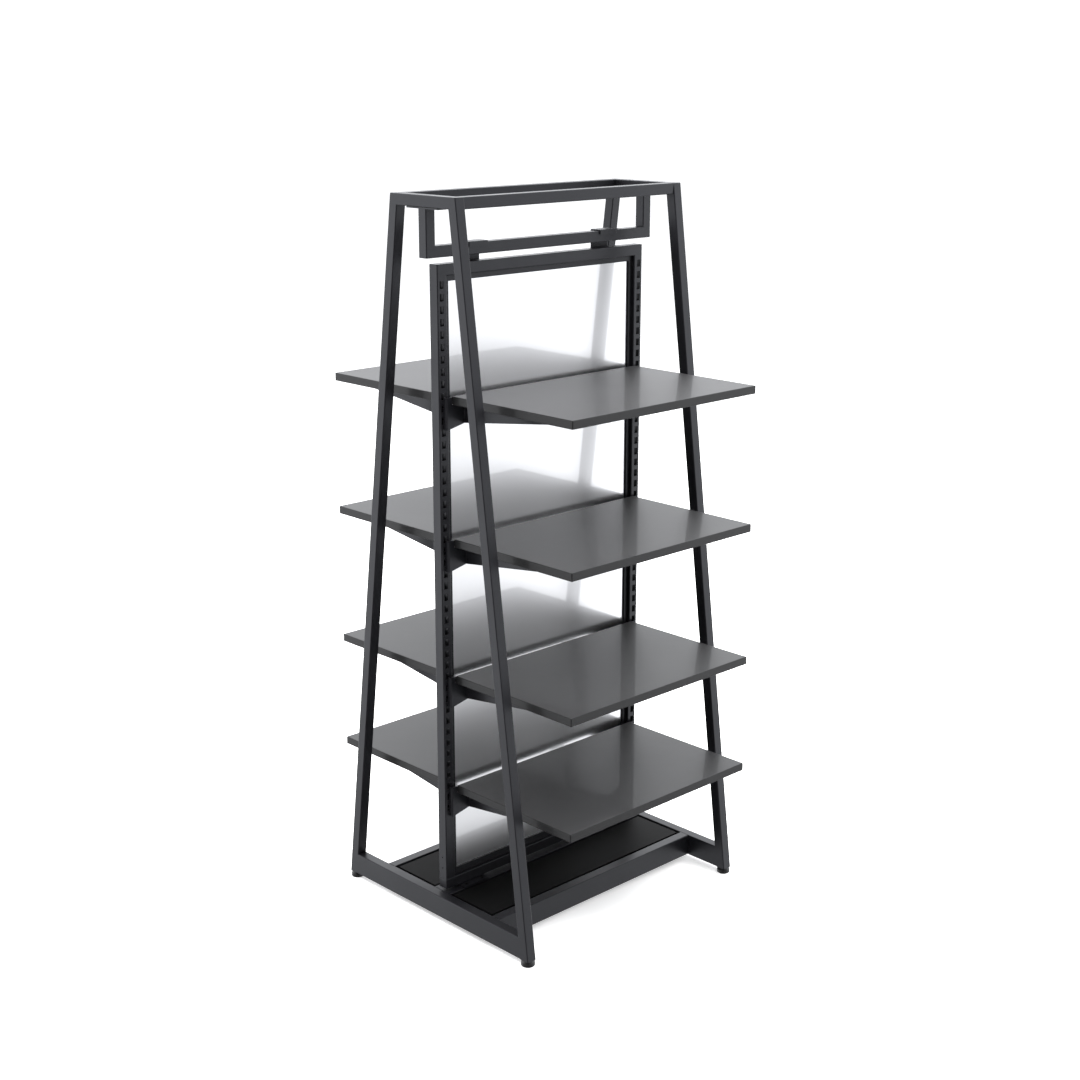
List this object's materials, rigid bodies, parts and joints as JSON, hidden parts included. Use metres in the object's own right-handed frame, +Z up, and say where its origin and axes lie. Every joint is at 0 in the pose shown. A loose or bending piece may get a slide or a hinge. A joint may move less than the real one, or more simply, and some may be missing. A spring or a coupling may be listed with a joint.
{
  "type": "gondola shelving unit",
  "caption": "Free-standing double-sided display gondola: tapered tube end frames around a slotted centre frame with a metal back panel and lift-off shelves on both faces.",
  "frame": {"origin": "on the floor, under the middle of the unit, in the plane of the four foot pads' undersides", "axes": "+Z up, +X across the width towards the right end frame seen from the front, +Y from the front face towards the rear face"},
  "size_m": [0.6632, 0.7482, 1.585],
  "materials": {
    "frame_paint": "satin charcoal powder coat",
    "upright_paint": "satin charcoal powder coat",
    "trim_paint": "semi-matt black powder coat",
    "panel_metal": "satin polished sheet",
    "deck_board": "dark matt laminate on board",
    "shelf_board": "dark satin-gloss laminate on board",
    "bracket_paint": "semi-gloss dark powder coat",
    "screw_steel": "blackened steel",
    "insert_plastic": "black moulded plastic",
    "foot_plastic": "black moulded plastic"
  },
  "bodies": {
    "frame": {"leg_front_left": "frame_paint", "leg_front_right": "frame_paint", "leg_rear_left": "frame_paint", "leg_rear_right": "frame_paint", "end_top_beam_left": "frame_paint", "end_top_beam_right": "frame_paint", "end_base_beam_left": "frame_paint", "end_base_beam_right": "frame_paint", "top_rail_front": "frame_paint", "top_rail_rear": "frame_paint", "base_rail_front": "frame_paint", "base_rail_rear": "frame_paint", "centre_base_beam": "frame_paint", "deck_ledges": "frame_paint", "foot_plates": "frame_paint", "hanger_leg_left": "frame_paint", "hanger_leg_right": "frame_paint", "hanger_rail": "frame_paint", "hanger_plates": "frame_paint", "saddles": "frame_paint", "centre_bottom_rail": "upright_paint", "centre_top_rail": "upright_paint", "upright_left": "upright_paint", "upright_right": "upright_paint", "panel_trim": "trim_paint", "back_panel": "panel_metal", "deck_front": "deck_board", "deck_rear": "deck_board", "saddle_screws": "screw_steel", "plate_screws": "screw_steel", "foot_inserts": "insert_plastic"},
    "shelf_unit_front_1": {"shelf_front_1": "shelf_board", "brackets_front_1": "bracket_paint", "shelf_screws_front_1": "screw_steel"},
    "shelf_unit_front_2": {"shelf_front_2": "shelf_board", "brackets_front_2": "bracket_paint", "shelf_screws_front_2": "screw_steel"},
    "shelf_unit_front_3": {"shelf_front_3": "shelf_board", "brackets_front_3": "bracket_paint", "shelf_screws_front_3": "screw_steel"},
    "shelf_unit_front_4": {"shelf_front_4": "shelf_board", "brackets_front_4": "bracket_paint", "shelf_screws_front_4": "screw_steel"},
    "shelf_unit_rear_1": {"shelf_rear_1": "shelf_board", "brackets_rear_1": "bracket_paint", "shelf_screws_rear_1": "screw_steel"},
    "shelf_unit_rear_2": {"shelf_rear_2": "shelf_board", "brackets_rear_2": "bracket_paint", "shelf_screws_rear_2": "screw_steel"},
    "shelf_unit_rear_3": {"shelf_rear_3": "shelf_board", "brackets_rear_3": "bracket_paint", "shelf_screws_rear_3": "screw_steel"},
    "shelf_unit_rear_4": {"shelf_rear_4": "shelf_board", "brackets_rear_4": "bracket_paint", "shelf_screws_rear_4": "screw_steel"},
    "foot_front_left": {"levelling_foot_front_left": "foot_plastic"},
    "foot_front_right": {"levelling_foot_front_right": "foot_plastic"},
    "foot_rear_left": {"levelling_foot_rear_left": "foot_plastic"},
    "foot_rear_right": {"levelling_foot_rear_right": "foot_plastic"}
  },
  "joints": [
    {"name": "shelf_front_1_lift", "type": "slide", "parent": "frame", "child": "shelf_unit_front_1", "axis": [0, 0, 1], "range_m": [0, 0.007]},
    {"name": "shelf_front_2_lift", "type": "slide", "parent": "frame", "child": "shelf_unit_front_2", "axis": [0, 0, 1], "range_m": [0, 0.007]},
    {"name": "shelf_front_3_lift", "type": "slide", "parent": "frame", "child": "shelf_unit_front_3", "axis": [0, 0, 1], "range_m": [0, 0.007]},
    {"name": "shelf_front_4_lift", "type": "slide", "parent": "frame", "child": "shelf_unit_front_4", "axis": [0, 0, 1], "range_m": [0, 0.007]},
    {"name": "shelf_rear_1_lift", "type": "slide", "parent": "frame", "child": "shelf_unit_rear_1", "axis": [0, 0, 1], "range_m": [0, 0.007]},
    {"name": "shelf_rear_2_lift", "type": "slide", "parent": "frame", "child": "shelf_unit_rear_2", "axis": [0, 0, 1], "range_m": [0, 0.007]},
    {"name": "shelf_rear_3_lift", "type": "slide", "parent": "frame", "child": "shelf_unit_rear_3", "axis": [0, 0, 1], "range_m": [0, 0.007]},
    {"name": "shelf_rear_4_lift", "type": "slide", "parent": "frame", "child": "shelf_unit_rear_4", "axis": [0, 0, 1], "range_m": [0, 0.007]},
    {"name": "foot_front_left_level", "type": "slide", "parent": "frame", "child": "foot_front_left", "axis": [0, 0, -1], "range_m": [0, 0.015]},
    {"name": "foot_front_right_level", "type": "slide", "parent": "frame", "child": "foot_front_right", "axis": [0, 0, -1], "range_m": [0, 0.015]},
    {"name": "foot_rear_left_level", "type": "slide", "parent": "frame", "child": "foot_rear_left", "axis": [0, 0, -1], "range_m": [0, 0.015]},
    {"name": "foot_rear_right_level", "type": "slide", "parent": "frame", "child": "foot_rear_right", "axis": [0, 0, -1], "range_m": [0, 0.015]}
  ]
}
